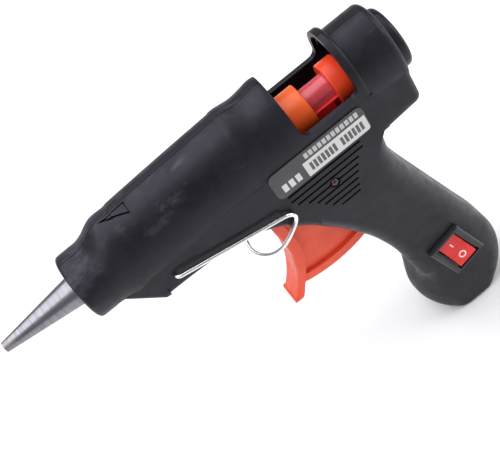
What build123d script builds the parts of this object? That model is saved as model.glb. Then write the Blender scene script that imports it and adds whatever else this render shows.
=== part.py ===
import os
from math import cos, sin, radians

from build123d import *

# Hobby glue gun, millimetres.
# Origin at the nozzle outlet, +X back along the barrel to the stick inlet,
# +Z up away from the handle, -Y is the left side with the switch.

# housing
collar_r = 12.35
collar_x0 = 30.5
collar_x1 = 39.5
barrel_end = 143.2
rear_end = 158.4
rim_r = 11.3
rim_end = 161.9
wall = 2.0
seam_gap = 0.1
skin_depth = 0.8

# feed window
window_x0 = 117.2
window_x1 = 139.8
window_z = 2.0
window_r = 3.0

# stick path
stick_bore_r = 4.3
nozzle_tip_r = 1.95
nozzle_base_r = 5.6
outlet_r = 0.9

# feed carriage
ring_r = 8.0
tube_r = 4.95
neck_r = 6.2
tail_r = 6.0
slide_fit = 0.06
feed_travel = 7.0

# trigger
pivot_x = 103.5
pivot_z = -20.0
pin_r = 1.5
fork_inner = 9.1
fork_outer = 11.4
trunnion_x = 107.0
trunnion_r = 1.6

# wire stand
wire_r = 0.75
stand_x = 57.9
stand_z = -10.6

# rocker switch on the left face
switch_x = 142.0
switch_z = -93.7
switch_lean = 16.4
bezel_l = 21.0
bezel_w = 15.0

rocker_tilt = 9.0

# indicator lamp and cord inlet
led_x = 117.7
led_z = -22.3
cord_r = 3.2

# housing screws: x, z
screw_spots = [
    (83.5, -14.6),
    (150.5, -14.5),
    (138.5, -62.0),
    (131.6, -115.5),
    (129.0, -25.0),
]
screw_r = 1.28


def ellipse_at(x, half_y, half_z):
    return Plane.YZ.offset(x) * Ellipse(half_y, half_z)


def tube_x(x0, x1, r_out, r_in=0.0):
    body = Pos((x0 + x1) / 2, 0, 0) * Rot(0, 90, 0) * Cylinder(r_out, x1 - x0)
    if r_in > 0:
        body -= Pos((x0 + x1) / 2, 0, 0) * Rot(0, 90, 0) * Cylinder(r_in, x1 - x0 + 2)
    return body


def cyl_y(x, z, y0, y1, r):
    return Pos(x, (y0 + y1) / 2, z) * Rot(90, 0, 0) * Cylinder(r, abs(y1 - y0))


def side_face(points):
    # closed outline of (x, z) points as a face in the XZ plane
    wire = Polyline(*[(x, 0, z) for x, z in points], close=True)
    return Face(wire.wire())


def slab_y(face, y0, y1):
    moved = face.moved(Location((0, y0, 0)))
    return extrude(moved, amount=y1 - y0, dir=(0, 1, 0))


def block(x0, x1, y0, y1, z0, z1):
    return Pos((x0 + x1) / 2, (y0 + y1) / 2, (z0 + z1) / 2) * Box(x1 - x0, y1 - y0, z1 - z0)


# ---------------------------------------------------------------- housing

flare_stations = [
    (36.0, 12.35, 12.35),
    (39.2, 12.35, 12.40),
    (43.2, 12.6, 14.2),
    (47.2, 13.0, 16.7),
    (51.0, 13.25, 17.15),
    (55.0, 13.5, 17.36),
]
barrel_stations = [
    (55.0, 13.5, 17.36),
    (69.0, 14.0, 18.1),
    (84.0, 14.4, 18.8),
    (98.0, 14.6, 19.4),
]
dip_stations = [
    (98.0, 14.6, 19.4),
    (103.0, 14.6, 19.4),
    (107.6, 14.6, 18.7),
    (112.2, 14.6, 19.5),
    (117.0, 14.6, 19.6),
]


def barrel_form(inset):
    form = None
    for run in (flare_stations, barrel_stations, dip_stations):
        sections = [ellipse_at(x, y - inset, z - inset) for x, y, z in run]
        piece = loft(Sketch() + sections)
        form = piece if form is None else form + piece
    arch = extrude(ellipse_at(117.0, 14.6 - inset, 19.6 - inset), barrel_end - 117.0 - inset)
    if inset == 0:
        arch = soft(arch, arch.edges().sort_by(Axis.X)[-1:], (1.5,))
    form += arch
    nose = tube_x(collar_x0 + inset, 37.0, collar_r - inset)
    if inset == 0:
        front = nose.edges().filter_by(GeomType.CIRCLE).sort_by(Axis.X)[0]
        nose = fillet(front, 1.6)
    form += nose
    rear = extrude(ellipse_at(140.0, 14.0 - inset, 16.7 - inset), rear_end - 140.0 - inset)
    if inset == 0:
        rear = fillet(rear.edges().sort_by(Axis.X)[-1], 2.4)
    form += rear
    if inset == 0:
        rim = tube_x(150.0, rim_end, rim_r)
        rim = fillet(rim.edges().filter_by(GeomType.CIRCLE).sort_by(Axis.X)[-1], 1.8)
        form += rim
    return form


# keel stations: x, half width, bottom z, corner radius
nose_stations = [
    (40.0, 10.4, -8.6, 3.0),
    (50.8, 12.6, -18.4, 3.0),
]
keel_stations = [
    (50.8, 12.6, -18.4, 3.0),
    (60.0, 13.2, -18.4, 3.0),
    (69.0, 13.7, -18.5, 3.2),
    (78.0, 14.2, -19.3, 3.6),
    (86.0, 14.5, -21.5, 4.2),
    (94.0, 14.62, -26.2, 5.0),
    (101.0, 14.62, -32.4, 5.6),
    (106.0, 14.62, -39.0, 6.0),
]
side_stations = [
    (124.0, 14.62, -21.6, 5.0),
    (143.2, 14.62, -20.9, 5.0),
]
rear_stations = [
    (138.0, 13.8, -21.9, 5.0),
    (157.8, 13.4, -20.2, 4.4),
]


def keel_run(stations, inset):
    sections = []
    for x, half, bottom, corner in stations:
        top = 2.0
        low = bottom + inset
        plane = Plane(origin=(x, 0, (top + low) / 2), x_dir=(0, 1, 0), z_dir=(1, 0, 0))
        r = max(corner - 0.7 * inset, 1.2)
        sections.append(plane * RectangleRounded(2 * (half - inset), top - low, r))
    return loft(Sketch() + sections)


def keel_form(inset):
    form = keel_run(nose_stations, inset) + keel_run(keel_stations, inset)
    side = keel_run(side_stations, inset)
    if inset > 0:
        side -= block(143.2 - inset, 170, -30, 30, -40, 10)
    back = barrel_end - inset
    middle = side_face([
        (98, -1.2),
        (back, -1.2),
        (back, -15),
        (134, -26),
        (118, -34),
        (101, -22),
    ])
    half = 14.62 - inset
    form += slab_y(middle, -half, half)
    rear = keel_run(rear_stations, inset)
    if inset == 0:
        rear = soft(rear, rear.edges().group_by(Axis.X)[-1], (2.6, 1.8, 1.0))
    else:
        rear -= block(157.8 - inset, 170, -30, 30, -40, 10)
    return form + side + rear


def soft(body, edges, radii):
    for r in radii:
        try:
            made = fillet(edges, r)
            if made.is_valid:
                return made
        except Exception:
            pass
    print("left sharp", len(edges))
    return body


# grip stations: z, front x, back x, half width, front corner, back corner
grip_stations = [
    (-12.0, 104.0, 141.6, 14.50, 4.0, 4.0),
    (-24.0, 102.6, 140.2, 14.58, 5.0, 5.0),
    (-33.0, 102.2, 140.3, 14.55, 6.0, 7.0),
    (-42.0, 107.4, 142.0, 14.3, 6.6, 8.4),
    (-51.0, 112.8, 144.4, 13.9, 6.4, 9.0),
    (-60.0, 117.6, 147.2, 13.6, 6.0, 9.4),
    (-68.0, 120.8, 149.7, 13.4, 5.4, 9.6),
    (-76.0, 123.2, 152.2, 13.4, 5.0, 9.6),
    (-84.0, 124.6, 154.7, 13.4, 4.8, 9.6),
    (-91.0, 125.5, 156.9, 13.4, 4.8, 9.4),
    (-97.0, 126.2, 158.8, 13.4, 5.4, 9.4),
]
butt_stations = [
    (-97.0, 126.2, 158.8, 13.4, 5.4, 9.4),
    (-103.5, 126.4, 160.5, 13.4, 7.6, 9.4),
    (-110.0, 123.8, 160.9, 13.4, 11.2, 9.4),
    (-116.5, 123.0, 159.4, 13.4, 12.2, 8.6),
    (-123.0, 125.4, 155.8, 13.3, 10.0, 7.4),
    (-129.5, 131.2, 150.4, 12.9, 6.0, 5.6),
]


def grip_run(stations, inset):
    sections = []
    for z, front, back, half, r_front, r_back in stations:
        if inset > 1 and z < -125:
            continue
        low_z = z
        if 0 < inset <= 1 and z < -125:
            low_z = z + inset
        length = back - front - 2 * inset
        width = 2 * (half - inset)
        plane = Plane(origin=((front + back) / 2, 0, low_z), x_dir=(1, 0, 0), z_dir=(0, 0, 1))
        face = Rectangle(length, width)
        face = fillet(face.vertices().group_by(Axis.X)[0], r_front - 0.7 * inset)
        face = fillet(face.vertices().group_by(Axis.X)[-1], r_back - 0.7 * inset)
        sections.append(plane * face)
    return loft(Sketch() + sections)


def grip_form(inset):
    form = grip_run(grip_stations, inset) + grip_run(butt_stations, inset)
    if inset == 0:
        foot = form.edges().group_by(Axis.Z)[0]
        form = soft(form, foot, (1.6, 1.2, 0.7))
    return form


def whole_form(inset):
    return barrel_form(inset) + keel_form(inset) + grip_form(inset)


def trigger_slot():
    face = side_face([
        (88.0, -12),
        (88.0, -50),
        (110, -82),
        (123.6, -66.6),
        (117, -42),
        (104, -28),
        (98, -12),
    ])
    return slab_y(face, -6.0, 6.0)


def rib(inner, x0, x1, hole):
    plate = inner & block(x0, x1, -30, 30, -60, 30)
    return plate - tube_x(x0 - 1, x1 + 1, hole)


def inner_walls(inner):
    # ribs that seat the melt chamber, the inlet sleeve and the feed carriage
    walls = rib(inner, 35.6, 37.6, 7.35)
    walls += rib(inner, 40.2, 42.0, 7.35)
    mid = rib(inner, 86.2, 88.0, 6.5) - block(80, 95, -30, 30, -60, -9.4)
    mid -= cyl_x(80, 95, 10.6, -8.4, 1.4) + cyl_x(80, 95, -10.6, -8.4, 1.4)
    walls += mid
    guide = rib(inner, 108.9, 110.3, neck_r + slide_fit)
    guide &= block(100, 120, -30, 30, 4.4, 30) + block(100, 120, -8.7, 8.7, -9.0, 30)
    walls += guide
    walls += rib(inner, 147.6, 149.4, tail_r + slide_fit)
    return walls


def cyl_x(x0, x1, y, z, r):
    return Pos((x0 + x1) / 2, y, z) * Rot(0, 90, 0) * Cylinder(r, x1 - x0)


def screw_posts(inner):
    posts = None
    for x, z in screw_spots:
        post = cyl_y(x, z, -14.5, 14.5, 3.3) & inner
        posts = post if posts is None else posts + post
    return posts


def pivot_bosses(inner):
    bosses = None
    for s in (1, -1):
        boss = cyl_y(pivot_x, pivot_z, s * 11.7, s * 14, 4.0)
        seat = cyl_y(stand_x, stand_z, s * 7.7, s * 14, 2.7)
        both = boss + seat
        bosses = both if bosses is None else bosses + both
    return bosses & inner


def stand_recess():
    # shallow step in the side that lets the folded wire lie close
    face = side_face([
        (52.7, -13.6),
        (56.0, -7.4),
        (65.4, -7.4),
        (70.0, -9.6),
        (97, -14.6),
        (97, -36),
        (52.7, -36),
    ])
    return slab_y(face, -20, -10)


def vents():
    spans = [
        (102, 132),
        (102, 132),
        (103.5, 129),
        (106.6, 127.7),
        (109, 126.5),
        (110.8, 125.2),
        (113, 124.4),
        (115.6, 123.7),
    ]
    cuts = None
    for i, (x0, x1) in enumerate(spans):
        z = -14.2 - 2.68 * i
        slot = block(x0, x1, -16, -13.9, z - 0.42, z + 0.42)
        cuts = slot if cuts is None else cuts + slot
    return cuts


def arrow_mark():
    outer = Polyline((49.6, -0.9, 0), (60.6, -0.9, 0), (60.6, -5.8, 0), close=True)
    inner = Polyline((52.6, -1.4, 0), (60.1, -1.4, 0), (60.1, -4.8, 0), close=True)
    ring = Face(outer.wire()) - Face(inner.wire())
    return extrude(ring, amount=30, dir=(0, 0, 1))


def switch_plane():
    # x along the switch from the barrel end to the butt end, z out of the left face
    a = radians(switch_lean)
    return Plane(origin=(switch_x, -13.43, switch_z), x_dir=(sin(a), 0, -cos(a)), z_dir=(0, -1, 0))


def half_shell():
    # left half with everything both halves share, the right one is its mirror image
    outer = whole_form(0)
    skin = whole_form(skin_depth)
    inner = whole_form(wall)
    side = block(20, 170, -30, -seam_gap, -140, 40)
    hollow = inner & block(20, 170, -30, 1, -140, 40)
    shell = biggest((outer & side) - hollow)
    for extra in (inner_walls(inner), screw_posts(inner), pivot_bosses(inner)):
        shell += extra & side
    # nozzle mouth, stick inlet and its lead-in
    shell -= tube_x(28, 33, 6.35)
    shell -= tube_x(150, 165, stick_bore_r)
    shell -= Pos(rim_end - 1.1, 0, 0) * Rot(0, 90, 0) * Cone(stick_bore_r, 6.4, 2.2)
    # feed window, open from above
    win = block(window_x0, window_x1, -30, 30, window_z, 40)
    corners = [e for e in win.edges() if abs(e.tangent_at(0.5).Y) > 0.9 and e.center().Z < 10]
    win = fillet(corners, window_r)
    shell -= win
    shell -= trigger_slot()
    shell -= stand_recess() - skin
    # pin and wire holes
    shell -= cyl_y(pivot_x, pivot_z, -13.7, 13.7, pin_r + 0.03)
    shell -= cyl_y(stand_x, stand_z, -30, -8.3, wire_r + 0.05)
    # cord inlet in the butt
    shell -= Pos(141.5, 0, -126) * Cylinder(cord_r, 12)
    return biggest(shell), skin


def housing_halves():
    shell, skin = half_shell()
    left = shell - vents()
    left -= cyl_y(led_x, led_z, -16, -10, 1.62)
    left -= cyl_y(led_x, led_z, -14.0, -10, 2.3)
    left -= cyl_y(led_x, led_z, -16, -14.25, 2.05)
    left -= (arrow_mark() & block(40, 70, -20, 0, 0, 30)) - skin
    left -= switch_plane() * Pos(0, 0, -3) * Box(19.2, 12.2, 12)
    right = mirror(shell, Plane.XZ)
    for x, z in screw_spots:
        left -= cyl_y(x, z, -11.6, 1, screw_r + 0.02)
        right -= cyl_y(x, z, -1, 30, 1.7)
        right -= cyl_y(x, z, 7.0, 30, 3.0)
    return biggest(left), biggest(right)


def biggest(shape):
    solids = sorted(shape.solids(), key=lambda s: s.volume)
    for extra in solids[:-1]:
        print("dropped crumb", round(extra.volume, 2), extra.center())
    return solids[-1]


# ------------------------------------------------------------ heating parts


def nozzle():
    tip = Pos(15.45, 0, 0) * Rot(0, 90, 0) * Cone(nozzle_tip_r, nozzle_base_r, 30.9)
    hexa = extrude(Plane.YZ.offset(30.9) * RegularPolygon(6.05, 6), 3.4)
    spigot = tube_x(34.3, 41.0, 4.0)
    body = tip + hexa + spigot
    body -= tube_x(-1, 3.2, outlet_r)
    body -= Pos(22.1, 0, 0) * Rot(0, 90, 0) * Cone(outlet_r, 2.4, 37.8 + 0.02)
    return body


def melt_chamber():
    body = tube_x(35.0, 80.0, 7.2)
    body += tube_x(38.0, 39.8, 9.4)
    body += block(50, 76, -7.0, 7.0, -12.4, -2)
    body += tube_x(80, 86.0, 5.1)
    body -= tube_x(34, 41.4, 4.03)
    body -= Pos(43.2, 0, 0) * Rot(0, 90, 0) * Cone(2.5, 3.95, 3.64)
    body -= tube_x(45.0, 90, 3.95)
    body -= block(40, 80, -5.2, 5.2, -11.4, -7.8)
    return body


def heater_chip():
    return block(54, 72, -4.0, 4.0, -10.6, -8.6)


def heater_electrodes():
    top = block(52, 73, -4.4, 4.4, -8.6, -8.2) + block(72.5, 79, 1.0, 4.0, -8.6, -8.2)
    low = block(52, 73, -4.4, 4.4, -11.0, -10.6) + block(72.5, 79, -4.0, -1.0, -11.0, -10.6)
    return Compound(children=[top.solid(), low.solid()])


def heater_insulation():
    return block(51, 75, -5.1, 5.1, -11.35, -7.85) - block(50, 76, -4.85, 4.85, -11.1, -8.1)


def inlet_sleeve():
    body = tube_x(80.4, 96.0, 6.4, 3.8)
    return body - tube_x(79, 86.3, 5.13)


def sleeve_clip():
    ring = tube_x(82.2, 84.4, 7.05, 6.43)
    ring -= block(80, 86, -0.8, 0.8, 5, 9)
    for s in (1, -1):
        ring += block(82.2, 84.4, s * 1.15 - 0.35, s * 1.15 + 0.35, 6.5, 9.2)
    return ring


# ------------------------------------------------------------- feed carriage


def feed_carriage():
    body = tube_x(104.0, 106.0, 8.4) + tube_x(106.0, 117.6, neck_r)
    body += tube_x(117.6, 125.7, ring_r)
    for e0 in (1, -1):
        body += cyl_y(trunnion_x, 0, e0 * 4.5, e0 * 11.2, trunnion_r)
    rounds = body.edges().filter_by(GeomType.CIRCLE)
    body = fillet([e for e in rounds if e.radius > 7.9 and e.center().X > 117], 0.6)
    return body - tube_x(100, 130, 3.9)


def feed_sleeve():
    body = tube_x(125.75, 135.1, tube_r)
    body += block(125.75, 135.1, -6.3, 6.3, -7.7, -0.6) & tube_x(120, 140, 7.9)
    body -= block(133.0, 134.8, -8, -4.3, -9, -1.0)
    body -= block(133.0, 134.8, 4.3, 8, -9, -1.0)
    body -= tube_x(120, 140, 3.9)
    body -= block(126.2, 134.6, -2.0, 2.0, -9, -3.0)
    return body - cyl_y(132.4, -6.2, -3.2, 3.2, 0.82)


def feed_ring_rear():
    body = tube_x(135.15, 141.7, ring_r)
    body = fillet(body.edges().filter_by(GeomType.CIRCLE), 0.6)
    body += tube_x(141.0, 156.0, tail_r)
    body -= tube_x(130, 158, 3.9)
    return body


def grip_jaw():
    face = side_face([
        (126.7, -4.15),
        (127.6, -4.3),
        (128.3, -4.15),
        (129.2, -4.6),
        (133.3, -5.1),
        (133.3, -7.0),
        (131.0, -7.2),
        (126.7, -5.6),
    ])
    body = slab_y(face, -1.8, 1.8)
    return body - cyl_y(132.4, -6.2, -3, 3, 0.82)


def jaw_pin():
    return cyl_y(132.4, -6.2, -3.1, 3.1, 0.78)


def return_spring():
    turns_from = 88.35
    length = 103.85 - 88.35 - 0.8
    path = Helix(pitch=length / 6.5, height=length, radius=7.3, center=(0, 0, 0))
    start = path @ 0
    coil = sweep(Plane(origin=start, z_dir=path % 0) * Circle(0.36), path=path)
    return Pos(turns_from + 0.4, 0, 0) * Rot(0, 90, 0) * coil


# ------------------------------------------------------------------- trigger


def trigger():
    c = (pivot_x, pivot_z)
    r_in = 42.8
    r_out = 46.4
    rear = radians(22)
    front = radians(-17.5)
    rear_out = (c[0] + r_out * sin(rear), c[1] - r_out * cos(rear))
    front_out = (c[0] + r_out * sin(front), c[1] - r_out * cos(front))
    web = Polyline(
        (92.6, 0, -26.0),
        (92.6, 0, -31.0),
        (93.0, 0, -48.0),
        (91.6, 0, -55.0),
        (front_out[0], 0, front_out[1]),
        (c[0], 0, c[1] - r_out),
        (rear_out[0], 0, rear_out[1]),
        (108.4, 0, -20.0),
        (99.0, 0, -19.5),
        close=True,
    )
    body = slab_y(Face(web.wire()), -3.1, 3.1)
    body &= cyl_y(c[0], c[1], -10, 10, r_out) + block(80, 125, -10, 10, -60, -10)
    rim = cyl_y(c[0], c[1], -4.6, 4.6, r_out) - cyl_y(c[0], c[1], -6, 6, r_in)
    wedge = Polyline(
        (c[0], 0, c[1]),
        (c[0] + 80 * sin(front), 0, c[1] - 80 * cos(front)),
        (c[0] + 80 * sin(rear), 0, c[1] - 80 * cos(rear)),
        close=True,
    )
    rim &= slab_y(Face(wedge.wire()), -10, 10)
    body += rim
    front_line = Spline(
        (91.6, 0, -25.5),
        (91.7, 0, -33.0),
        (92.1, 0, -41.0),
        (91.9, 0, -48.0),
        (90.4, 0, -55.0),
        (87.3, 0, -62.6),
        (83.3, 0, -69.0),
    )
    tip_line = ThreePointArc((83.3, 0, -69.0), (82.9, 0, -71.7), (85.3, 0, -71.3))
    back_line = Spline(
        (85.3, 0, -71.3),
        (90.6, 0, -62.4),
        (94.6, 0, -54.0),
        (96.3, 0, -47.0),
        (96.0, 0, -36.0),
        (95.4, 0, -25.5),
    )
    top_line = Line((95.4, 0, -25.5), (91.6, 0, -25.5))
    side = Face(Wire([front_line, tip_line, back_line, top_line]))
    pad = slab_y(side, -5.3, 5.3)
    # round the fingertip end as seen from the front
    plan = Plane.YZ.offset(78) * Pos(0, -46.0) * RectangleRounded(10.6, 52.2, 3.4)
    pad &= extrude(plan, amount=24)
    front = max([f for f in pad.faces() if f.center().X < 93], key=lambda f: f.area)
    edges = [e for e in front.edges() if e.center().Z < -26]
    pad = soft(pad, edges, (1.8, 1.4, 1.1, 0.8, 0.5))
    body += pad
    body += cyl_y(c[0], c[1], -fork_outer, fork_outer, 5.2)
    for s in (1, -1):
        arm = side_face([
            (99.2, -17.5),
            (104.2, 3.4),
            (110.2, 3.4),
            (108.6, -18.5),
            (105, -24),
            (101, -24),
        ])
        y0 = min(s * fork_inner, s * fork_outer)
        body += slab_y(arm, y0, y0 + fork_outer - fork_inner)
    # open slots for the carriage trunnions, along the arm
    lean = (trunnion_x - pivot_x) / -pivot_z
    w = trunnion_r + 0.08
    slot = side_face([
        (trunnion_x - w - 1.2 * lean, -1.2),
        (trunnion_x + w - 1.2 * lean, -1.2),
        (trunnion_x + w + 5 * lean, 5),
        (trunnion_x - w + 5 * lean, 5),
    ])
    body -= slab_y(slot, -12, 12)
    body -= cyl_y(trunnion_x - 1.2 * lean, -1.2, -12, 12, w)
    return body - cyl_y(c[0], c[1], -12, 12, pin_r + 0.05)


def trigger_pin():
    return cyl_y(pivot_x, pivot_z, -13.55, 13.55, pin_r)


# ---------------------------------------------------------------- wire stand


def stand_wire():
    half = [
        (100.4, -16.1, -21.6),
        (96.6, -15.8, -26.4),
        (92.3, -14.5, -30.6),
        (88.6, -12.4, -33.4),
        (85.0, -8.5, -35.6),
        (82.9, -4.3, -36.5),
    ]
    root = Vector(stand_x, -14.35, stand_z)
    knee = Vector(96.6, -16.1, -18.0)
    along = (knee - root).normalized()
    bend = 1.6
    parts = []
    for s in (-1, 1):
        def side(v):
            return Vector(v.X, -v.Y, v.Z) if s > 0 else v
        a = side(Vector(stand_x, -8.6, stand_z))
        b = side(Vector(stand_x, -14.35 + bend, stand_z))
        c0 = side(root + along * bend)
        way = side(along)
        out = Vector(0, s, 0)
        mid = (b + c0) * 0.5 + (side(root) - (b + c0) * 0.5) * 0.41
        parts.append((a, b, mid, c0, side(knee), way, out))
    a, b, m, c0, k, way, out = parts[0]
    a2, b2, m2, c2, k2, way2, out2 = parts[1]
    pts = [k] + [Vector(*p) for p in half] + [Vector(82.2, 0, -36.8)]
    pts += [Vector(p[0], -p[1], p[2]) for p in reversed(half)] + [k2]
    loop = Spline(*pts, tangents=[along, way2 * -1])
    path = [
        Line(a, b),
        ThreePointArc(b, m, c0),
        Line(c0, k),
        loop,
        Line(k2, c2),
        ThreePointArc(c2, m2, b2),
        Line(b2, a2),
    ]
    wire = Wire(path)
    return sweep(Plane(origin=a, z_dir=(0, -1, 0)) * Circle(wire_r), path=wire)


# ------------------------------------------------------------- rocker switch


def switch_body():
    frame = Pos(0, 0, 0.95) * Box(bezel_l, bezel_w, 1.9)
    frame = chamfer(frame.faces().sort_by(Axis.Z)[-1].edges(), 0.6)
    box = Pos(0, 0, -5.4) * Box(19.0, 12.0, 10.9)
    body = frame + box
    body -= Pos(0, 0, -3.0) * Box(17.6, 9.4, 12)
    body -= Pos(0, 0, 1.7) * Box(18.2, 10.6, 1.4)
    body -= Pos(0, 0, -3.4) * Rot(90, 0, 0) * Cylinder(0.9, 11.0)
    for x in (-5.0, 5.0):
        body -= Pos(x, 0, -10) * Box(0.9, 4.9, 4)
    return switch_plane() * body


def switch_rocker():
    face = Polyline(
        (-7.9, 0, 1.6),
        (0.0, 0, 1.1),
        (7.9, 0, 1.6),
        (7.2, 0, -3.6),
        (4.0, 0, -6.0),
        (-4.0, 0, -6.0),
        (-7.2, 0, -3.6),
        close=True,
    )
    body = extrude(Face(face.wire()).moved(Location((0, -4.3, 0))), amount=8.6, dir=(0, 1, 0))
    body = fillet([e for e in body.edges() if abs(e.tangent_at(0.5).Y) > 0.9 and e.center().Z > 1.5], 0.5)
    body += Pos(0, 0, -3.4) * Rot(90, 0, 0) * Cylinder(0.85, 10.6)
    pivot = Pos(0, 0, -3.4)
    return switch_plane() * (pivot * Rot(0, -rocker_tilt, 0) * pivot.inverse() * body)


def switch_terminals():
    blades = []
    for x in (-5.0, 5.0):
        blade = Pos(x, 0, -12.9) * Box(0.8, 4.8, 7.8)
        blade -= Pos(x, 0, -15.0) * Rot(0, 90, 0) * Cylinder(0.9, 3)
        blades.append((switch_plane() * blade).solid())
    return Compound(children=blades)


# -------------------------------------------------------------- small pieces


def led():
    stem = cyl_y(led_x, led_z, -13.8, -12.0, 1.5) + cyl_y(led_x, led_z, -12.9, -12.0, 1.9)
    dome = Pos(led_x, -13.8, led_z) * Sphere(1.5)
    return stem + dome


def led_leads():
    pieces = []
    for dx in (-0.8, 0.8):
        lead = cyl_y(led_x + dx, led_z, -11.95, -8.0, 0.25)
        pieces.append(lead)
    body = cyl_y(led_x + 0.8, led_z, -7.9, -4.9, 1.0) + cyl_y(led_x + 0.8, led_z, -8.0, -3.5, 0.25)
    body += pieces[1]
    return Compound(children=[pieces[0].solid(), body.solid()])


def label():
    plate = block(99.5, 137.7, -15.0, -14.74, -12.8, -1.2)
    return fillet([e for e in plate.edges() if abs(e.tangent_at(0.5).Y) > 0.9], 2.4)


def housing_screws():
    out = []
    for x, z in screw_spots:
        shank = cyl_y(x, z, -10.5, 7.02, screw_r)
        head = cyl_y(x, z, 7.02, 9.2, 2.7)
        head = fillet(head.edges().filter_by(GeomType.CIRCLE).sort_by(Axis.Y)[-1], 0.9)
        screw = shank + head
        screw -= Pos(x, 9.0, z) * Box(2.8, 1.6, 0.7)
        screw -= Pos(x, 9.0, z) * Box(0.7, 1.6, 2.8)
        out.append(screw.solid())
    return Compound(children=out)


def heater_wires():
    right = [
        (79.9, 2.5, -8.4),
        (82.4, 8.8, -9.0),
        (87.0, 10.6, -8.4),
        (95.0, 11.9, -8.6),
        (103.5, 12.0, -9.4),
        (112.0, 11.9, -16.0),
        (119.0, 11.4, -34.0),
        (125.0, 10.6, -50.0),
        (130.0, 9.0, -64.0),
        (135.0, 6.6, -76.0),
        (139.4, 5.0, -85.0),
    ]
    left = [
        (79.9, -2.5, -10.8),
        (81.6, -8.8, -9.2),
        (87.0, -10.6, -8.4),
        (95.0, -11.9, -8.6),
        (103.5, -12.0, -9.4),
        (110.6, -11.9, -15.0),
        (113.0, -11.2, -28.0),
        (118.0, -10.8, -44.0),
        (124.0, -9.6, -60.0),
        (129.0, -5.0, -74.0),
        (134.0, 1.0, -84.0),
    ]
    out = []
    for pts in (right, left):
        path = Spline(*[Vector(*p) for p in pts])
        out.append(sweep(Plane(origin=path @ 0, z_dir=path % 0) * Circle(0.55), path=path).solid())
    return Compound(children=out)


os.makedirs("parts", exist_ok=True)
left_shell, right_shell = housing_halves()
nodes = {
    "left_housing": left_shell,
    "right_housing": right_shell,
    "nozzle": nozzle(),
    "melt_chamber": melt_chamber(),
    "heater_chip": heater_chip(),
    "heater_electrodes": heater_electrodes(),
    "heater_insulation": heater_insulation(),
    "inlet_sleeve": inlet_sleeve(),
    "sleeve_clip": sleeve_clip(),
    "feed_carriage": feed_carriage(),
    "feed_sleeve": feed_sleeve(),
    "feed_ring_rear": feed_ring_rear(),
    "grip_jaw": grip_jaw(),
    "jaw_pin": jaw_pin(),
    "return_spring": return_spring(),
    "trigger": trigger(),
    "trigger_pin": trigger_pin(),
    "stand_wire": stand_wire(),
    "switch_body": switch_body(),
    "switch_rocker": switch_rocker(),
    "switch_terminals": switch_terminals(),
    "led": led(),
    "led_leads": led_leads(),
    "label": label(),
    "housing_screws": housing_screws(),
    "heater_wires": heater_wires(),
}
for name, shape in nodes.items():
    export_step(shape, f"parts/{name}.step")
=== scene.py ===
import math

import bmesh
import bpy
from mathutils import Matrix, Vector


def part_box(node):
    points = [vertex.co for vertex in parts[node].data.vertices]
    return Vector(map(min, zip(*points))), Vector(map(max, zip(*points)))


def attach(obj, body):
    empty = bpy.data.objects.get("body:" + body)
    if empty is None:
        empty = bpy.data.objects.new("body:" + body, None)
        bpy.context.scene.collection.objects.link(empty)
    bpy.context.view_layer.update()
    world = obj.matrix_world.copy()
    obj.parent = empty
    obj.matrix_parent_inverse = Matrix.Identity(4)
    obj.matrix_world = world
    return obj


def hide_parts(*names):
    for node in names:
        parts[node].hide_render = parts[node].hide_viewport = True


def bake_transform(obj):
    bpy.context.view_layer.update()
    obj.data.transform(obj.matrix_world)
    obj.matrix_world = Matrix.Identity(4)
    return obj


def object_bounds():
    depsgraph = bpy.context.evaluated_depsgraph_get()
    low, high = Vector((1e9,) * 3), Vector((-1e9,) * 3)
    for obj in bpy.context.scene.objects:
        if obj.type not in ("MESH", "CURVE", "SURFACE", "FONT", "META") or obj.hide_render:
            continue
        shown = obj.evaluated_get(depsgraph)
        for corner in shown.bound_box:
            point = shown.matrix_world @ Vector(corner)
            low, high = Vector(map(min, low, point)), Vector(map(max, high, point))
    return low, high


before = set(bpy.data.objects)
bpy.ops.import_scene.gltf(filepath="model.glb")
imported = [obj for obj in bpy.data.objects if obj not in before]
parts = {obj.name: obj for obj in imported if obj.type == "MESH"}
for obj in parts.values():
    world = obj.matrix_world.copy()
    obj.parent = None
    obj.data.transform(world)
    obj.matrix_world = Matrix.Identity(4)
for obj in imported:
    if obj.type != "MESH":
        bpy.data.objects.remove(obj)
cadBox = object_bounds()
print("frame loaded,", len(parts), "nodes")


# a socket of a material, so that a mask can be written as a sum
class Signal:
    def __init__(self, finish, socket):
        self.finish = finish
        self.socket = socket

    def maths(self, operation, first, second):
        return self.finish.node("ShaderNodeMath", {"operation": operation}, {0: first, 1: second})

    def __add__(self, other):
        return self.maths("ADD", self, other)

    def __radd__(self, other):
        return self.maths("ADD", other, self)

    def __sub__(self, other):
        return self.maths("SUBTRACT", self, other)

    def __rsub__(self, other):
        return self.maths("SUBTRACT", other, self)

    def __mul__(self, other):
        return self.maths("MULTIPLY", self, other)

    def __rmul__(self, other):
        return self.maths("MULTIPLY", other, self)

    def power(self, exponent):
        return self.maths("POWER", self, exponent)

    def smaller(self, other):
        return self.maths("MINIMUM", self, other)

    def size(self):
        return self.maths("ABSOLUTE", self, 0.0)

    def wave(self):
        return self.maths("SINE", self, 0.0)

    def repeat(self, pitch):
        return self.maths("FLOORED_MODULO", self, pitch)

    def ease(self, low, high, toLow=0.0, toHigh=1.0):
        sockets = {"Value": self, "From Min": low, "From Max": high, "To Min": toLow, "To Max": toHigh}
        return self.finish.node("ShaderNodeMapRange", {"interpolation_type": "SMOOTHSTEP"}, sockets)


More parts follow.
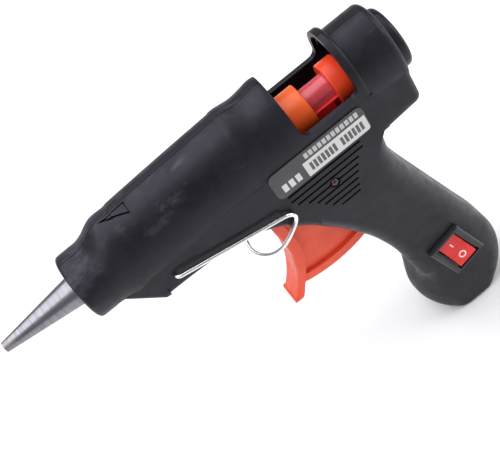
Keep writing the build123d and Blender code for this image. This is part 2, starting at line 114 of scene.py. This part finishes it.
class Finish:
    def __init__(self, name, look):
        self.material = bpy.data.materials.new(name)
        self.material.use_nodes = True
        self.tree = self.material.node_tree
        self.shader = self.tree.nodes["Principled BSDF"]
        self.place = self.node("ShaderNodeTexCoord", {}, {}, "Object")
        self.x = self.node("ShaderNodeSeparateXYZ", {}, {0: self.place}, "X")
        self.y = self.node("ShaderNodeSeparateXYZ", {}, {0: self.place}, "Y")
        self.z = self.node("ShaderNodeSeparateXYZ", {}, {0: self.place}, "Z")
        self.relief = None
        for socket, value in look.items():
            self.feed(socket, value)

    def node(self, kind, settings, sockets, output=0):
        made = self.tree.nodes.new(kind)
        for key, value in settings.items():
            setattr(made, key, value)
        for key, value in sockets.items():
            if isinstance(value, Signal):
                self.tree.links.new(value.socket, made.inputs[key])
            else:
                made.inputs[key].default_value = value
        return Signal(self, made.outputs[output])

    def feed(self, socket, value):
        if isinstance(value, Signal):
            self.tree.links.new(value.socket, self.shader.inputs[socket])
        else:
            self.shader.inputs[socket].default_value = value

    def blend(self, share, first, second):
        return self.node("ShaderNodeMix", {"data_type": "RGBA"}, {0: share, 6: first, 7: second}, 2)

    def grain(self, scale, detail=3.0, roughness=0.55, stretch=None, turn=(0, 0, 0)):
        where = self.place
        if stretch:
            where = self.node("ShaderNodeMapping", {}, {"Vector": where, "Rotation": turn, "Scale": stretch})
        sockets = {"Vector": where, "Scale": scale, "Detail": detail, "Roughness": roughness}
        return self.node("ShaderNodeTexNoise", {}, sockets)

    def bump(self, height, strength, depth):
        sockets = {"Height": height, "Strength": strength, "Distance": depth}
        if self.relief:
            sockets["Normal"] = self.relief
        self.relief = self.node("ShaderNodeBump", {}, sockets)
        self.feed("Normal", self.relief)

    # one inside a rectangle with soft edges, zero outside
    def panel(self, u, v, middle, half, soft):
        inU = (u - middle[0]).size().ease(half[0] - soft, half[0] + soft, 1.0, 0.0)
        inV = (v - middle[1]).size().ease(half[1] - soft, half[1] + soft, 1.0, 0.0)
        return inU * inV


print("making the finishes")

housingLook = {
    "dark": (0.0052, 0.0050, 0.0070, 1),
    "light": (0.0092, 0.0088, 0.0118, 1),
    # this colour paints real scuffs and also a painted bluish sheen on the barrel top
    "scuffAndSheen": (0.105, 0.100, 0.132, 1),
    "scuffSheenAmount": 0.46,
    "roughLow": 0.34,
    "roughHigh": 0.48,
    "mouldLineMiddle": (0.12795, -0.0560),
    "mouldLineHalf": (0.00695, 0.00012),
    "mouldLineSoft": 0.0001,
}


def housingFinish():
    s = housingLook
    f = Finish("housing_plastic", {"Specular IOR Level": 0.31, "Specular Tint": (0.90, 0.85, 1.0, 1)})
    mottle = f.grain(70, 4, 0.6)
    cloud = f.grain(26, 3, 0.5).ease(0.36, 0.66)
    base = f.blend(mottle.ease(0.35, 0.65), s["dark"], s["light"])
    # handling marks dragged along the upper barrel, with painted sheen: these patches are lightened to a
    # bluish tone only on the top front of the barrel
    dragAndSheen = f.grain(150, 6, 0.74, (0.50, 1.3, 1.0), (0.0, 0.35, 0.0)).ease(0.48, 0.68)
    scuffSheenPatch = f.grain(42, 4, 0.6).ease(0.44, 0.62)
    sheenOnTop = f.z.ease(0.003, 0.013)
    front = f.x.ease(0.132, 0.095, 0.0, 1.0)
    rubAndSheen = dragAndSheen * scuffSheenPatch * sheenOnTop * front
    hair = f.grain(900, 4, 0.7, (0.05, 1.0, 1.0), (0.0, 0.6, 0.3)).ease(0.60, 0.70)
    scratch = hair * f.grain(55, 2, 0.5).ease(0.50, 0.62)
    # rubbed band round the nose where it gets set down
    nose = f.x.ease(0.0345, 0.0312) * f.grain(300, 4, 0.65).ease(0.50, 0.66)
    # painted sheen from the top patches, mixed with real scratches and the worn nose band
    worn = (rubAndSheen * s["scuffSheenAmount"] + scratch * 0.14 + nose * 0.25).smaller(1.0)
    f.feed("Base Color", f.blend(worn, base, s["scuffAndSheen"]))
    rough = f.grain(240, 4, 0.6).ease(0.3, 0.7, s["roughLow"], s["roughHigh"])
    f.feed("Roughness", rough + cloud * 0.06 + worn * 0.25)
    f.bump(f.grain(2600, 2, 0.5), 0.16, 0.00006)
    f.bump(f.grain(160, 3, 0.5), 0.08, 0.00015)
    f.bump(dragAndSheen * scuffSheenPatch, 0.08, 0.00008)
    # faint mould line across the grip
    wander = f.z - (f.x * 190.0).wave() * 0.0002
    line = f.panel(f.x, wander, s["mouldLineMiddle"], s["mouldLineHalf"], s["mouldLineSoft"])
    f.bump(1.0 - line, 0.5, 0.00012)
    return f.material


def metalFinish(name, colour, low, high, stretch, scale, marks=0.2):
    f = Finish(name, {"Metallic": 1.0, "Specular IOR Level": 0.5})
    streak = f.grain(scale, 5, 0.65, stretch)
    dull = f.grain(scale * 0.09, 4, 0.6).ease(0.42, 0.68)
    darker = tuple(c * 0.72 for c in colour[:3]) + (1,)
    f.feed("Base Color", f.blend(streak.ease(0.35, 0.7) * 0.5 + dull * marks, colour, darker))
    f.feed("Roughness", streak.ease(0.3, 0.7, low, high) + dull * 0.10)
    f.bump(streak, 0.22, 0.00005)
    return f.material


nozzleLook = {
    "bright": (0.27, 0.262, 0.288, 1),
    "dull": (0.19, 0.182, 0.204, 1),
    "soot": (0.16, 0.148, 0.166, 1),
    "glue": (0.34, 0.30, 0.27, 1),
}


def nozzleFinish():
    s = nozzleLook
    f = Finish("nozzle_aluminium", {"Specular IOR Level": 0.5})
    around = f.grain(1500, 4, 0.6, (1.0, 0.03, 0.03))
    turned = (f.x * 9000.0).wave()
    stain = f.grain(210, 5, 0.62).ease(0.50, 0.74)
    glue = f.x.ease(0.0065, 0.0015) * f.grain(420, 4, 0.6).ease(0.42, 0.60)
    bare = f.blend(around.ease(0.3, 0.7), s["bright"], s["dull"])
    soot = f.blend(stain * 0.35, bare, s["soot"])
    f.feed("Base Color", f.blend(glue * 0.35, soot, s["glue"]))
    f.feed("Metallic", 1.0 - glue * 0.35)
    f.feed("Roughness", around.ease(0.3, 0.7, 0.26, 0.36) + stain * 0.12 + glue * 0.1)
    f.bump(turned * 0.12 + around * 0.5, 0.10, 0.00002)
    f.bump(f.grain(340, 4, 0.6), 0.15, 0.00010)
    return f.material


def mouldedFinish(name, colour, deep, rough=0.34, coat=0.0):
    f = Finish(name, {"Specular IOR Level": 0.36, "Coat Weight": coat, "Coat Roughness": 0.12})
    flow = f.grain(95, 4, 0.55, (0.6, 1.0, 1.0))
    speck = f.grain(1100, 3, 0.6).ease(0.62, 0.72)
    body = f.blend(flow.ease(0.34, 0.68), colour, deep)
    f.feed("Base Color", f.blend(speck * 0.16, body, deep))
    f.feed("Roughness", f.grain(260, 4, 0.6).ease(0.3, 0.7, rough - 0.06, rough + 0.10))
    f.bump(f.grain(1900, 2, 0.5), 0.12, 0.00005)
    f.bump(flow, 0.07, 0.00020)
    return f


# clear dark red tube above; its lower part is painted a deeper red as painted shade
sleeveLook = {
    "tube": (0.54, 0.050, 0.068, 1),
    "streak": (0.70, 0.130, 0.165, 1),
    # deeper red painted on the lower part of the sleeve as painted shade
    "bar": (0.62, 0.016, 0.013, 1),
    "shadeTop": -0.0002,
    "shadeFade": 0.0006,
}


def sleeveFinish():
    s = sleeveLook
    f = mouldedFinish("sleeve_red", s["tube"], s["bar"], 0.26, 0.2)
    # painted shade: below this height the sleeve takes the deeper red
    bar = f.z.ease(s["shadeTop"] - s["shadeFade"], s["shadeTop"], 1.0, 0.0)
    streak = f.grain(700, 4, 0.65, (0.06, 1.0, 1.0)).ease(0.42, 0.66)
    tube = f.blend(streak * 0.6, s["tube"], s["streak"])
    f.feed("Base Color", f.blend(bar, tube, s["bar"]))
    f.bump(streak, 0.12, 0.00006)
    return f.material


triggerLook = {
    "colour": (0.94, 0.112, 0.050, 1),
    "deep": (0.86, 0.084, 0.034, 1),
    "grime": (0.30, 0.055, 0.030, 1),
}


def triggerFinish():
    s = triggerLook
    f = mouldedFinish("trigger_plastic", s["colour"], s["deep"], 0.40)
    # grime along the finger pad
    grime = f.x.ease(0.0935, 0.0905) * f.grain(170, 5, 0.65).ease(0.52, 0.72)
    body = f.blend(f.grain(95, 4, 0.55).ease(0.34, 0.68), s["colour"], s["deep"])
    f.feed("Base Color", f.blend(grime * 0.30, body, s["grime"]))
    return f.material


labelLook = {
    "plate": (0.026, 0.026, 0.031, 1),
    "plateWarm": (0.038, 0.034, 0.038, 1),
    "white": (0.66, 0.64, 0.63, 1),
    "ink": (0.075, 0.070, 0.075, 1),
    "soft": 0.00006,
    "edge": 0.00005,
    # middle and half size, in x and z
    "bar": ((0.12465, -0.0090), (0.01265, 0.00335)),
    "gap": ((0.12552, -0.0090), (0.00080, 0.0030)),
    # start, pitch and width of the blocks, then the middle and half size of the row
    "darkRow": (0.1139, 0.00158, 0.00112, (0.1248, -0.0090), (0.0109, 0.00185)),
    "paleRow": (0.1138, 0.00185, 0.00140, (0.12475, -0.00355), (0.0110, 0.00115)),
    "largeRow": (0.1024, 0.00270, 0.00190, (0.1062, -0.0093), (0.0040, 0.00170)),
}


def labelBlocks(f, row):
    start, pitch, width, middle, half = row
    edge = labelLook["edge"]
    step = (f.x - start).repeat(pitch)
    block = step.ease(width - edge, width + edge, 1.0, 0.0) * step.ease(0.0, edge)
    return block * f.panel(f.x, f.z, middle, half, labelLook["soft"])


def labelFinish():
    s = labelLook
    f = Finish("label_film", {"Specular IOR Level": 0.5, "Coat Weight": 0.25, "Coat Roughness": 0.2})
    bar = f.panel(f.x, f.z, *s["bar"], s["soft"])
    # plain blocks stand in for the print
    gap = f.panel(f.x, f.z, *s["gap"], s["soft"])
    dark = labelBlocks(f, s["darkRow"]) * (1.0 - gap)
    pale = labelBlocks(f, s["paleRow"])
    large = labelBlocks(f, s["largeRow"])
    plate = f.blend(f.grain(130, 3, 0.5).ease(0.35, 0.65), s["plate"], s["plateWarm"])
    worn = 1.0 - f.grain(620, 5, 0.7).ease(0.60, 0.72) * 0.5
    mixed = f.blend(bar, plate, s["white"])
    mixed = f.blend(dark * worn, mixed, s["ink"])
    mixed = f.blend((pale * 0.75 + large).smaller(1.0) * worn, mixed, s["white"])
    f.feed("Base Color", mixed)
    f.feed("Roughness", f.grain(400, 4, 0.6).ease(0.3, 0.7, 0.30, 0.44) + bar * 0.06)
    f.bump(bar + dark * 0.4, 0.25, 0.00003)
    f.bump(f.grain(900, 3, 0.6), 0.10, 0.00004)
    return f.material


switchLook = {
    "centre": (0.142, -0.0937),
    "lean": 16.4,
    "strokeAt": -0.0036,
    "ringAt": 0.0033,
    "ringRadius": 0.00128,
    "colour": (0.80, 0.026, 0.020, 1),
    "deep": (0.70, 0.018, 0.015, 1),
    "mark": (0.86, 0.80, 0.78, 1),
}


def rockerFinish():
    s = switchLook
    f = mouldedFinish("rocker_red", s["colour"], s["deep"], 0.30, 0.05)
    lean = math.radians(s["lean"])
    dx = f.x - s["centre"][0]
    dz = f.z - s["centre"][1]
    along = dx * math.sin(lean) - dz * math.cos(lean)
    across = dx * math.cos(lean) + dz * math.sin(lean)
    outside = f.y.ease(-0.0120, -0.0126)
    stroke = f.panel(along, across, (s["strokeAt"], 0.0), (0.00115, 0.00026), 0.00005)
    ringX = along - s["ringAt"]
    away = (ringX * ringX + across * across).power(0.5)
    ring = (away - s["ringRadius"]).size().ease(0.00021, 0.00031, 1.0, 0.0)
    mark = (stroke + ring).smaller(1.0) * outside
    body = f.blend(f.grain(150, 4, 0.55).ease(0.35, 0.66), s["colour"], s["deep"])
    chipped = 1.0 - f.grain(2400, 4, 0.7).ease(0.62, 0.72) * 0.4
    f.feed("Base Color", f.blend(mark * chipped, body, s["mark"]))
    f.bump(mark, 0.3, 0.00004)
    return f.material


def softFinish(name, colour, deep, rough):
    f = Finish(name, {"Specular IOR Level": 0.35})
    dust = f.grain(300, 5, 0.65)
    f.feed("Base Color", f.blend(dust.ease(0.35, 0.7), colour, deep))
    f.feed("Roughness", dust.ease(0.3, 0.7, rough - 0.08, rough + 0.08))
    f.bump(f.grain(1500, 3, 0.6), 0.20, 0.00006)
    return f.material


def lampFinish():
    f = Finish("lamp_red", {"Specular IOR Level": 0.5, "Coat Weight": 0.3, "Coat Roughness": 0.04})
    fog = f.grain(900, 3, 0.5)
    # the lens is lighter round the middle of the dome and darker towards its tip and back towards the flange
    domeFade = (f.y + 0.0144).size().ease(0.0, 0.0016)
    f.feed("Base Color", f.blend(domeFade, (0.050, 0.003, 0.010, 1), (0.022, 0.002, 0.006, 1)))
    f.feed("Roughness", fog.ease(0.3, 0.7, 0.10, 0.22))
    f.bump(fog, 0.05, 0.00004)
    return f.material


def foilFinish(name, colour, deep):
    f = Finish(name, {"Specular IOR Level": 0.5, "Coat Weight": 0.4, "Coat Roughness": 0.15})
    wrap = ((f.x + f.z * 0.4) * 3200.0).wave()
    f.feed("Base Color", f.blend(wrap.ease(0.6, 0.98) * 0.6, colour, deep))
    f.feed("Roughness", f.grain(500, 4, 0.6).ease(0.3, 0.7, 0.25, 0.42))
    f.bump(wrap, 0.25, 0.00006)
    return f.material


housing = housingFinish()
steel = (0.66, 0.66, 0.68, 1)
zinc = (0.52, 0.52, 0.54, 1)
tin = (0.68, 0.67, 0.65, 1)
brass = (0.75, 0.58, 0.28, 1)
plated = (0.88, 0.87, 0.87, 1)
springWire = (0.60, 0.60, 0.62, 1)
castMetal = (0.55, 0.55, 0.57, 1)
sheetMetal = (0.72, 0.72, 0.73, 1)
alongX = (0.1, 1, 1)
alongY = (1, 0.1, 1)
alongZ = (1, 1, 0.1)
roundX = (1, 0.1, 0.1)
even = (1, 1, 1)

finishes = {
    "left_housing": housing,
    "right_housing": housing,
    "nozzle": nozzleFinish(),
    "melt_chamber": metalFinish("cast_aluminium", castMetal, 0.42, 0.60, even, 900, 0.4),
    "heater_chip": softFinish("heater_ceramic", (0.34, 0.35, 0.36, 1), (0.24, 0.25, 0.26, 1), 0.6),
    "heater_electrodes": metalFinish("electrode_sheet", sheetMetal, 0.25, 0.4, alongX, 1200),
    "heater_insulation": foilFinish("wrap_film", (0.55, 0.27, 0.05, 1), (0.35, 0.15, 0.03, 1)),
    "inlet_sleeve": softFinish("silicone_rubber", (0.60, 0.57, 0.50, 1), (0.46, 0.42, 0.36, 1), 0.58),
    "sleeve_clip": metalFinish("clip_steel", steel, 0.24, 0.38, roundX, 1400),
    "feed_carriage": mouldedFinish(
        "carriage_orange", (0.86, 0.120, 0.014, 1), (0.76, 0.085, 0.009, 1), 0.34, 0.05
    ).material,
    "feed_sleeve": sleeveFinish(),
    "feed_ring_rear": mouldedFinish(
        "ring_red_orange", (0.80, 0.056, 0.014, 1), (0.70, 0.038, 0.009, 1), 0.32, 0.06
    ).material,
    "grip_jaw": metalFinish("jaw_steel", steel, 0.25, 0.4, alongX, 1500),
    "jaw_pin": metalFinish("pin_steel", steel, 0.2, 0.3, alongY, 1500),
    "return_spring": metalFinish("spring_wire", springWire, 0.22, 0.34, even, 2000),
    "trigger": triggerFinish(),
    "trigger_pin": metalFinish("pivot_steel", steel, 0.2, 0.32, alongY, 1500),
    "stand_wire": metalFinish("stand_plated_wire", plated, 0.13, 0.24, (0.15, 1, 0.6), 1300, 0.15),
    "switch_body": mouldedFinish(
        "switch_black", (0.018, 0.019, 0.020, 1), (0.011, 0.012, 0.013, 1), 0.30, 0.1
    ).material,
    "switch_terminals": metalFinish("terminal_brass", brass, 0.25, 0.42, alongZ, 1500),
    "led_leads": metalFinish("lead_tin", tin, 0.3, 0.45, alongY, 1500),
    "housing_screws": metalFinish("screw_zinc", zinc, 0.28, 0.44, (1, 0.3, 1), 1700, 0.35),
    "heater_wires": softFinish("wire_sheath", (0.44, 0.035, 0.025, 1), (0.33, 0.020, 0.015, 1), 0.45),
}


def dressPart(name, finish):
    mesh = parts[name].data
    mesh.materials.clear()
    mesh.materials.append(finish)


for name, finish in finishes.items():
    dressPart(name, finish)
print("finishes on", len(finishes), "nodes")


# a primitive at its size and place, with nothing else selected
def addShape(adder, name, **options):
    bpy.ops.object.select_all(action="DESELECT")
    adder(**options)
    piece = bpy.context.object
    piece.name = name
    piece.data.name = name
    return piece


# selects only what passes the test, for the next edit
def pick(piece, kind, test):
    bpy.ops.mesh.select_mode(type=kind)
    bpy.ops.mesh.select_all(action="DESELECT")
    shape = bmesh.from_edit_mesh(piece.data)
    group = {"VERT": shape.verts, "EDGE": shape.edges, "FACE": shape.faces}[kind]
    for item in group:
        if test(item):
            item.select_set(True)
    shape.select_flush_mode()
    bmesh.update_edit_mesh(piece.data)


def edgeRun(edge):
    return (edge.verts[1].co - edge.verts[0].co).normalized()


def settle(piece, finish, body, node):
    bpy.ops.object.mode_set(mode="OBJECT")
    bpy.ops.object.select_all(action="DESELECT")
    piece.select_set(True)
    bpy.context.view_layer.objects.active = piece
    bpy.ops.object.transform_apply(location=True, rotation=True, scale=True)
    bpy.ops.object.mode_set(mode="EDIT")
    bpy.ops.mesh.select_all(action="SELECT")
    bpy.ops.mesh.remove_doubles(threshold=0.000002)
    bpy.ops.mesh.normals_make_consistent(inside=False)
    bpy.ops.object.mode_set(mode="OBJECT")
    bpy.ops.object.shade_smooth_by_angle(angle=math.radians(32))
    piece.data.materials.clear()
    piece.data.materials.append(finish)
    if body:
        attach(piece, body)
    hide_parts(node)
    print("made", piece.name, len(piece.data.polygons), "faces")


labelShape = {"corner": 0.0024, "steps": 10, "border": 0.00035, "rim": 0.00007}


def makeLabel():
    low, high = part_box("label")
    cube = {"size": 1, "location": (low + high) / 2, "scale": high - low}
    piece = addShape(bpy.ops.mesh.primitive_cube_add, "label_plate", **cube)
    bpy.ops.object.transform_apply(location=True, rotation=True, scale=True)
    bpy.ops.object.mode_set(mode="EDIT")
    pick(piece, "EDGE", lambda e: abs(edgeRun(e).y) > 0.9)
    bpy.ops.mesh.bevel(offset=labelShape["corner"], segments=labelShape["steps"], affect="EDGES")
    pick(piece, "FACE", lambda f: f.normal.y < -0.9)
    bpy.ops.mesh.inset(thickness=labelShape["border"])
    pick(piece, "EDGE", lambda e: all(v.co.y < low.y + 1e-6 for v in e.verts) and e.calc_face_angle(0) > 1.0)
    bpy.ops.mesh.bevel(offset=labelShape["rim"], segments=2, affect="EDGES")
    settle(piece, labelFinish(), "housing", "label")


rockerShape = {
    "halfLength": 0.0079,
    "halfWidth": 0.0043,
    "middle": 0.0011,
    "rise": 0.00055,
    "foot": -0.0060,
    "footLength": 0.0042,
    "edge": 0.0004,
    "pivotDepth": -0.0034,
    "tilt": -9.0,
    "rows": 17,
    "faceY": -0.01343,
}


def makeRocker():
    r = rockerShape
    height = r["middle"] - r["foot"]
    size = (2 * r["halfLength"], 2 * r["halfWidth"], height)
    middle = (0, 0, (r["middle"] + r["foot"]) / 2)
    piece = addShape(bpy.ops.mesh.primitive_cube_add, "rocker_paddle", size=1, location=middle, scale=size)
    bpy.ops.object.transform_apply(location=True, rotation=True, scale=True)
    bpy.ops.object.mode_set(mode="EDIT")
    pick(piece, "EDGE", lambda e: abs(edgeRun(e).x) > 0.9)
    bpy.ops.mesh.subdivide(number_cuts=r["rows"] - 2)
    # dish the pressing face and draw the foot in, one row of points at a time
    for i in range(r["rows"]):
        u = -r["halfLength"] + i * 2 * r["halfLength"] / (r["rows"] - 1)
        share = abs(u) / r["halfLength"]
        pick(piece, "VERT", lambda v: abs(v.co.x - u) < 1e-5 and v.co.z > 0)
        bpy.ops.transform.translate(value=(0, 0, r["rise"] * share ** 1.7))
    pick(piece, "VERT", lambda v: v.co.z < 0)
    squeeze = r["footLength"] / r["halfLength"]
    bpy.ops.transform.resize(value=(squeeze, 0.94, 1), center_override=(0, 0, r["foot"]))
    pick(piece, "EDGE", lambda e: max(v.co.z for v in e.verts) > 0 and e.calc_face_angle(0) > 1.0)
    bpy.ops.mesh.bevel(offset=r["edge"], segments=3, affect="EDGES")
    bpy.ops.object.mode_set(mode="OBJECT")
    lean = math.radians(switchLook["lean"])
    along = Vector((math.sin(lean), 0, -math.cos(lean)))
    across = Vector((math.cos(lean), 0, math.sin(lean)))
    out = Vector((0, -1, 0))
    seat = Matrix((along, across, out)).transposed().to_4x4()
    centre = Vector((switchLook["centre"][0], r["faceY"], switchLook["centre"][1]))
    hinge = Matrix.Translation((0, 0, r["pivotDepth"]))
    tip = hinge @ Matrix.Rotation(math.radians(r["tilt"]), 4, "Y") @ hinge.inverted()
    piece.matrix_world = Matrix.Translation(centre) @ seat @ tip
    settle(piece, rockerFinish(), "rocker", "switch_rocker")


lampShape = {"radius": 0.0015, "flange": 0.0019, "domeY": -0.0138, "flangeY": -0.0129, "backY": -0.0120}


def makeLamp():
    s = lampShape
    low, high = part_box("led")
    middle = ((low.x + high.x) / 2, s["domeY"], (low.z + high.z) / 2)
    turn = (math.radians(90), 0, 0)
    piece = addShape(
        bpy.ops.mesh.primitive_uv_sphere_add, "lamp_lens",
        segments=40, ring_count=20, radius=s["radius"], location=middle, rotation=turn,
    )
    bpy.ops.object.transform_apply(location=True, rotation=True, scale=True)
    bpy.ops.object.mode_set(mode="EDIT")
    pick(piece, "VERT", lambda v: v.co.y > s["domeY"] + 1e-5)
    bpy.ops.mesh.delete(type="VERT")
    grow = s["flange"] / s["radius"]
    steps = [(s["flangeY"] - s["domeY"], 1.0), (0.0, grow), (s["backY"] - s["flangeY"], 1.0)]
    pick(piece, "EDGE", lambda e: e.is_boundary)
    for shift, widen in steps:
        bpy.ops.mesh.extrude_region_move(TRANSFORM_OT_translate={"value": (0, shift, 0)})
        bpy.ops.transform.resize(value=(widen, 1, widen), center_override=middle)
    bpy.ops.mesh.fill()
    settle(piece, lampFinish(), "housing", "led")


def makeSpring():
    piece = bpy.data.objects.new("coil_spring", parts["return_spring"].data.copy())
    bpy.context.scene.collection.objects.link(piece)
    bpy.context.view_layer.objects.active = piece
    settle(piece, finishes["return_spring"], None, "return_spring")
    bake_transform(piece)


makeLabel()
makeRocker()
makeLamp()
makeSpring()


studio = {
    "floorColour": (0.86, 0.86, 0.86, 1),
    "floorGap": 0.0006,
    "floorSize": 6.0,
    "worldColour": (1.0, 1.0, 1.0, 1),
    "worldStrength": 0.34,
    # place, aim, size, power and colour of each light
    "lights": {
        "overhead_panel": ((-0.25, 0.25, 1.20), (0.06, 0.10, -0.10), (2.0, 1.6), 30.0, (0.95, 0.955, 1.0)),
        "left_panel": ((-0.45, -0.25, 0.40), (0.07, 0, 0), (0.35, 0.35), 0.8, (0.93, 0.94, 1.0)),
        "rear_panel": ((0.62, -0.10, 0.25), (0.12, 0, -0.05), (0.40, 0.50), 2.0, (1, 1, 1)),
    },
}


def makeFloor():
    bpy.ops.object.select_all(action="DESELECT")
    low = cadBox[0][2] - studio["floorGap"]
    bpy.ops.mesh.primitive_plane_add(size=studio["floorSize"], location=(0.08, 0, low))
    floor = bpy.context.object
    floor.name = "studio_floor"
    f = Finish("floor_paper", {"Base Color": studio["floorColour"], "Specular IOR Level": 0.1})
    f.feed("Roughness", f.grain(30, 3, 0.5).ease(0.3, 0.7, 0.80, 0.90))
    floor.data.materials.append(f.material)


def makeLight(name, place, aim, size, power, colour):
    light = bpy.data.lights.new(name, "AREA")
    light.shape = "RECTANGLE"
    light.size = size[0]
    light.size_y = size[1]
    light.energy = power
    light.color = colour
    lamp = bpy.data.objects.new(name, light)
    bpy.context.scene.collection.objects.link(lamp)
    lamp.location = place
    lamp.rotation_euler = (Vector(aim) - Vector(place)).to_track_quat("-Z", "Y").to_euler()


def makeWorld():
    world = bpy.data.worlds.new("studio_world")
    bpy.context.scene.world = world
    world.use_nodes = True
    backdrop = world.node_tree.nodes["Background"]
    backdrop.inputs["Color"].default_value = studio["worldColour"]
    backdrop.inputs["Strength"].default_value = studio["worldStrength"]


cameraLook = {
    "place": (0.085, -0.2662, 0.2482),
    "forward": (0.0, 0.6896, -0.7242),
    "roll": 39.0,
    "lens": 80.5,
}


def makeCamera():
    forward = Vector(cameraLook["forward"]).normalized()
    level = Vector((1, 0, 0))
    upright = level.cross(forward)
    roll = math.radians(cameraLook["roll"])
    right = level * math.cos(roll) - upright * math.sin(roll)
    up = level * math.sin(roll) + upright * math.cos(roll)
    data = bpy.data.cameras.new("camera")
    data.lens = cameraLook["lens"]
    data.sensor_width = 36.0
    data.clip_start = 0.01
    camera = bpy.data.objects.new("camera", data)
    bpy.context.scene.collection.objects.link(camera)
    turn = Matrix((right, up, -forward)).transposed().to_4x4()
    camera.matrix_world = Matrix.Translation(cameraLook["place"]) @ turn
    bpy.context.scene.camera = camera


makeFloor()
makeWorld()
for name, values in studio["lights"].items():
    makeLight(name, *values)
makeCamera()
bpy.context.scene.view_settings.view_transform = "Standard"
print("studio ready")
